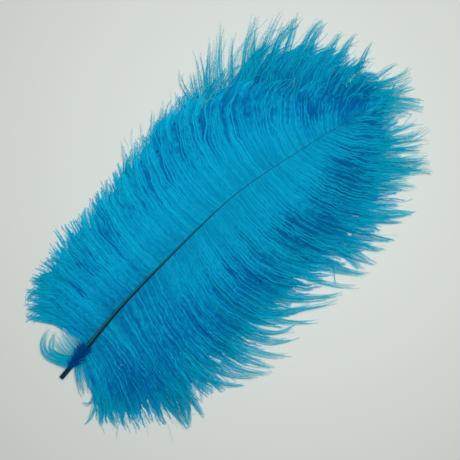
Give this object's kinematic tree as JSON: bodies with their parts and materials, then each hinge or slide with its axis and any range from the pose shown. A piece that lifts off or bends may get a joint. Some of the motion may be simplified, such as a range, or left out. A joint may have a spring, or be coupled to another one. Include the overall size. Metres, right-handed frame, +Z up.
{
  "type": "ostrich feather",
  "caption": "Dyed ostrich feather lying flat: a bowed dark shaft with a short cut quill and a broad soft vane of long blue barbs curling towards the tip.",
  "frame": {"origin": "on the surface that the feather lies on, below the crest of the shaft's bow", "axes": "+X along the shaft towards the tip, +Z up from the surface, +Y to the side that the shaft bows towards"},
  "size_m": [0.3971, 0.2506, 0.0127],
  "materials": {
    "dyed_vane": "soft dyed barbs, matt with a faint sheen",
    "dyed_quill": "smooth dyed horn, near black, satin"
  },
  "bodies": {
    "root": {"feather": "dyed_vane"}
  },
  "joints": []
}
